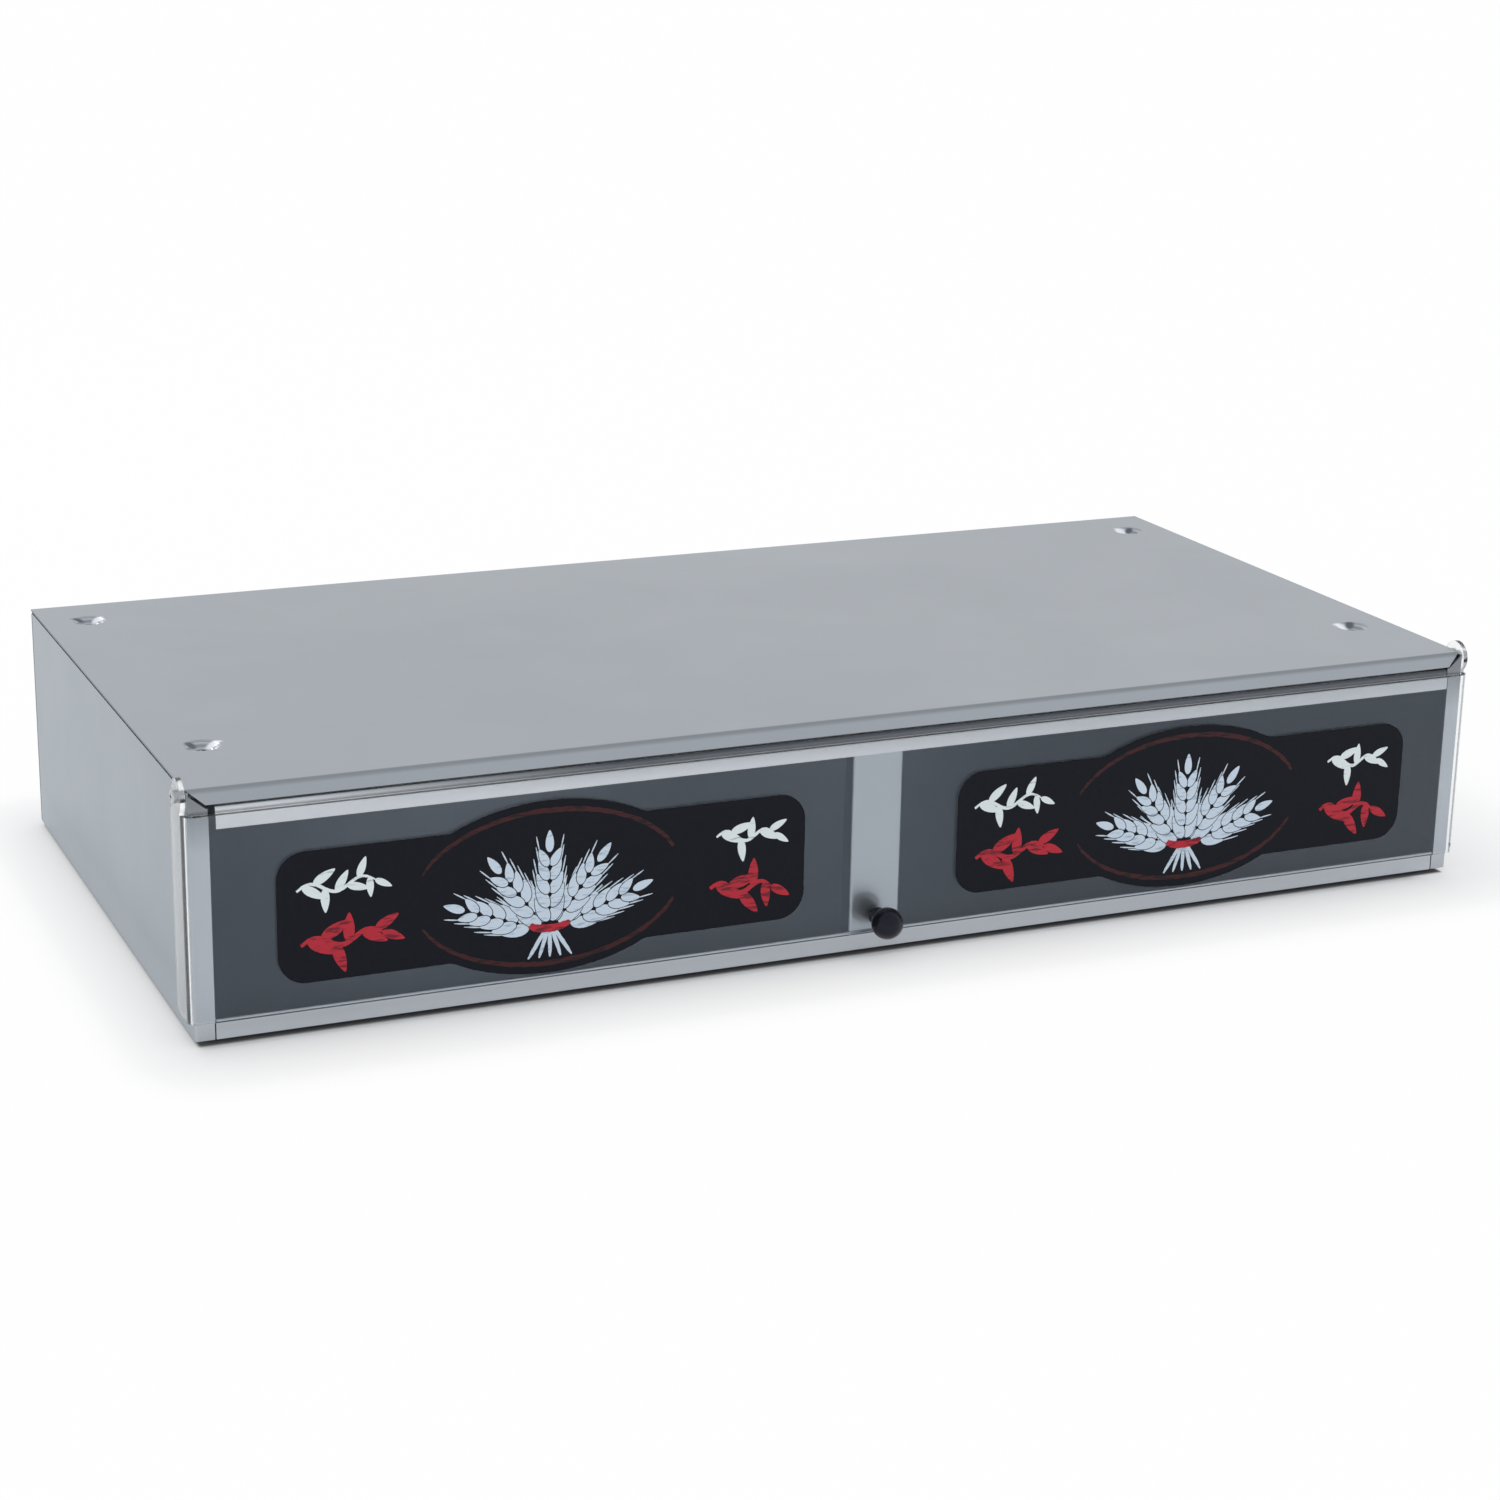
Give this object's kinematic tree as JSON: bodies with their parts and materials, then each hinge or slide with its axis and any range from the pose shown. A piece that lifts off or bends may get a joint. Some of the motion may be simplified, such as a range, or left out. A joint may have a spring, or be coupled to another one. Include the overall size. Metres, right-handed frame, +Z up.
{
  "type": "bun box",
  "caption": "Low sheet steel bun box with a clear flip-up front door on side pivots, a ball knob, and dimpled holes in the deck for the legs of a roller grill.",
  "frame": {"origin": "bottom centre of the box around the whole object, on the surface that it stands on", "axes": "+X along the width, to the right as seen from the front; the front with the door faces -Y; +Z up"},
  "size_m": [0.9154, 0.4818, 0.1668],
  "materials": {
    "sheet_steel": "brushed stainless sheet",
    "clear_sheet": "clear polished sheet",
    "knob_plastic": "black moulded, glossy",
    "label_vinyl": "printed vinyl, satin",
    "fastener_steel": "zinc plated",
    "washer_nylon": "natural nylon",
    "rivet_aluminium": "plain",
    "foot_rubber": "matt black"
  },
  "bodies": {
    "cabinet": {"bottom_pan": "sheet_steel", "left_side_panel": "sheet_steel", "right_side_panel": "sheet_steel", "left_deck_angle": "sheet_steel", "right_deck_angle": "sheet_steel", "back_panel": "sheet_steel", "centre_mullion": "sheet_steel", "front_top_rail": "sheet_steel", "top_deck": "sheet_steel", "foot_front_left": "foot_rubber", "foot_front_right": "foot_rubber", "foot_rear_left": "foot_rubber", "foot_rear_right": "foot_rubber", "back_rivets": "rivet_aluminium", "left_pivot_screw": "fastener_steel", "right_pivot_screw": "fastener_steel", "left_pivot_nut": "fastener_steel", "right_pivot_nut": "fastener_steel", "left_spacer_washer": "washer_nylon", "right_spacer_washer": "washer_nylon"},
    "door": {"door_panel": "clear_sheet", "door_knob": "knob_plastic", "knob_screw": "fastener_steel", "left_label": "label_vinyl", "right_label": "label_vinyl"}
  },
  "joints": [
    {"name": "door_hinge", "type": "hinge", "parent": "cabinet", "child": "door", "pos_m": [0, -0.19975, 0.1558], "axis": [-1, 0, 0], "range_deg": [0, 190]}
  ]
}
